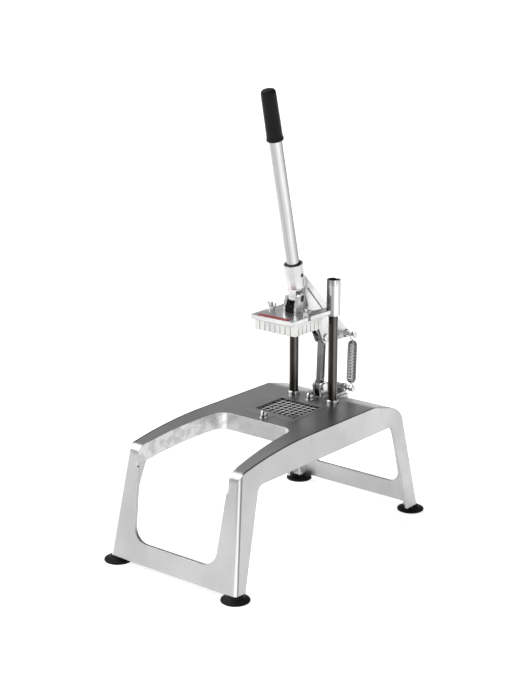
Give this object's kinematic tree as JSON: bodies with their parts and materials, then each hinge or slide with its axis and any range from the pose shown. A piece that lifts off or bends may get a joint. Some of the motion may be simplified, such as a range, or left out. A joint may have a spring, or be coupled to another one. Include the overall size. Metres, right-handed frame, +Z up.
{
  "type": "french fry cutter",
  "caption": "Lever press french fry cutter: cast four-legged base with a knife block, two guide columns, a fingered pusher carriage, a long handle with link and return spring.",
  "frame": {"origin": "on the floor, in the middle of the rectangle of the four suction feet", "axes": "+X to the right, +Y to the back (the handle comes down over the front, -Y), +Z up"},
  "size_m": [0.278, 0.499, 0.7082],
  "materials": {
    "cast_aluminium": "polished and brushed casting",
    "block_metal": "satin",
    "blade_steel": "ground",
    "plated_steel": "bright plated",
    "column_steel": "dark ground steel",
    "bright_casting": "polished casting",
    "chrome_sleeve": "chrome plated",
    "pusher_casting": "satin casting",
    "black_rubber": "matte rubber",
    "band_red": "plain band",
    "tube_steel": "bright polished tube",
    "grip_black": "satin dipped grip",
    "link_casting": "satin",
    "spring_wire": "drawn wire"
  },
  "bodies": {
    "base": {"base_casting": "cast_aluminium", "suction_foot_front_left": "black_rubber", "suction_foot_front_right": "black_rubber", "suction_foot_rear_left": "black_rubber", "suction_foot_rear_right": "black_rubber", "foot_studs": "plated_steel", "knife_block_frame": "block_metal", "blades_across": "blade_steel", "blades_along": "blade_steel", "clamp_studs": "plated_steel", "clamp_nuts": "plated_steel", "column_left": "column_steel", "column_right": "column_steel", "column_collar_left": "plated_steel", "column_collar_right": "plated_steel", "column_nuts": "plated_steel", "rear_bracket": "bright_casting", "bracket_screws": "plated_steel", "link_anchor_pin": "plated_steel", "spring_anchor_pin": "plated_steel"},
    "carriage": {"carriage_plate": "bright_casting", "guide_sleeve_left": "chrome_sleeve", "guide_sleeve_right": "chrome_sleeve", "pusher_block": "pusher_casting", "pusher_studs": "plated_steel", "stop_bumper": "black_rubber", "front_band": "band_red", "lever_pivot_pin": "column_steel"},
    "wing_left": {"wing_nut_left": "plated_steel"},
    "wing_right": {"wing_nut_right": "plated_steel"},
    "lever": {"lever_casting": "bright_casting", "handle_tube": "tube_steel", "socket_ring": "black_rubber", "socket_screw": "column_steel", "handle_grip": "grip_black", "lever_ear_pins": "plated_steel", "spring_lever_pin": "plated_steel"},
    "link": {"link_bar": "link_casting", "link_joint_pin": "plated_steel"},
    "spring": {"return_spring": "spring_wire", "spring_hook_lower": "spring_wire"},
    "spring_top": {"spring_hook_upper": "spring_wire"}
  },
  "joints": [
    {"name": "carriage_slide", "type": "slide", "parent": "base", "child": "carriage", "axis": [0, 0, -1], "range_m": [0, 0.13], "stiffness_N_per_m": 220, "springref_m": -0.22},
    {"name": "lever_pivot", "type": "hinge", "parent": "carriage", "child": "lever", "pos_m": [0, 0.063, 0.377], "axis": [1, 0, 0], "range_deg": [0, 74.15]},
    {"name": "link_swing", "type": "hinge", "parent": "base", "child": "link", "pos_m": [0, 0.129, 0.216], "axis": [-1, 0, 0], "range_deg": [0, 17.98]},
    {"name": "spring_swing", "type": "hinge", "parent": "base", "child": "spring", "pos_m": [0.018, 0.19, 0.2], "axis": [1, 0, 0], "range_deg": [0, 5.61]},
    {"name": "spring_stretch", "type": "slide", "parent": "spring", "child": "spring_top", "axis": [0, 0.0326, 0.9995], "range_m": [0, 0.05711], "deforming": ["return_spring"]},
    {"name": "wing_nut_left_turn", "type": "hinge", "parent": "carriage", "child": "wing_left", "pos_m": [-0.034, 0.045, 0.356], "axis": [0, 0, 1], "continuous": true},
    {"name": "wing_nut_right_turn", "type": "hinge", "parent": "carriage", "child": "wing_right", "pos_m": [0.034, 0.045, 0.356], "axis": [0, 0, 1], "continuous": true}
  ],
  "couplings": [
    {"joint": "lever_pivot", "follows": "carriage_slide", "rad_per_m": 9.955},
    {"joint": "link_swing", "follows": "carriage_slide", "rad_per_m": 2.4138},
    {"joint": "spring_swing", "follows": "carriage_slide", "rad_per_m": 0.75265},
    {"joint": "spring_stretch", "follows": "carriage_slide", "ratio": 0.4393}
  ]
}
